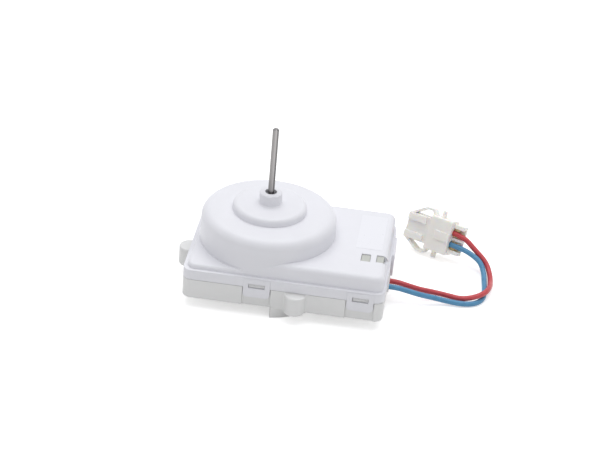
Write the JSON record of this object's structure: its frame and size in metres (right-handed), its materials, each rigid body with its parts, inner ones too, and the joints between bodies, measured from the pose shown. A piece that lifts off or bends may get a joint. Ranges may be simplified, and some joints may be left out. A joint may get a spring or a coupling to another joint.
{
  "type": "condenser fan motor",
  "caption": "Flat sealed fan motor: a drum and an electronics deck in a snapped white housing, with a bare steel shaft, red and blue leads and a leaning nylon plug.",
  "frame": {"origin": "on the shaft's axis, in the plane that the bearing boss and the locating ribs stand on", "axes": "+Z along the shaft towards its free end, +X along the housing towards the leads, -Y towards the side with the round lug"},
  "size_m": [0.1585, 0.0998, 0.085],
  "materials": {
    "cover_plastic": "satin moulded",
    "tray_plastic": "satin moulded",
    "label_film": "smooth film",
    "shaft_steel": "ground",
    "hub_brass": "turned",
    "cup_steel": "drawn, zinc plated",
    "ferrite": "sintered",
    "spring_steel": "plated",
    "nylon_washer": "natural",
    "sintered_bronze": "sintered, oiled",
    "core_steel": "stamped laminations",
    "insulator_plastic": "moulded",
    "copper_wire": "enamelled windings",
    "board_laminate": "solder mask",
    "capacitor_sleeve": "shrink sleeve",
    "black_plastic": "moulded",
    "red_sleeve": "soft insulation",
    "blue_sleeve": "soft insulation",
    "plug_plastic": "natural nylon",
    "terminal_brass": "stamped"
  },
  "bodies": {
    "housing": {"top_cover": "cover_plastic", "base_tray": "tray_plastic", "rating_label": "label_film", "lead_grommet": "tray_plastic", "bearing_tube": "hub_brass", "upper_bush": "sintered_bronze", "lower_bush": "sintered_bronze", "thrust_washer": "nylon_washer", "stator_core": "core_steel", "upper_insulator": "insulator_plastic", "lower_insulator": "insulator_plastic", "stator_coils": "copper_wire", "circuit_board": "board_laminate", "board_screws": "spring_steel", "electrolytic_capacitor": "capacitor_sleeve", "choke_coil": "black_plastic", "driver_chip": "black_plastic", "hall_sensor": "black_plastic", "solder_block": "insulator_plastic", "red_lead_tail": "red_sleeve", "blue_lead_tail": "blue_sleeve", "red_lead": "red_sleeve", "blue_lead": "blue_sleeve", "connector_housing": "plug_plastic", "lead_terminals": "terminal_brass"},
    "rotor": {"shaft": "shaft_steel", "rotor_hub": "hub_brass", "rotor_cup": "cup_steel", "ring_magnet": "ferrite", "retaining_clip": "spring_steel", "spacer_washer": "nylon_washer"}
  },
  "joints": [
    {"name": "rotor_spin", "type": "hinge", "parent": "housing", "child": "rotor", "pos_m": [0, 0, 0], "axis": [0, 0, 1], "continuous": true}
  ]
}
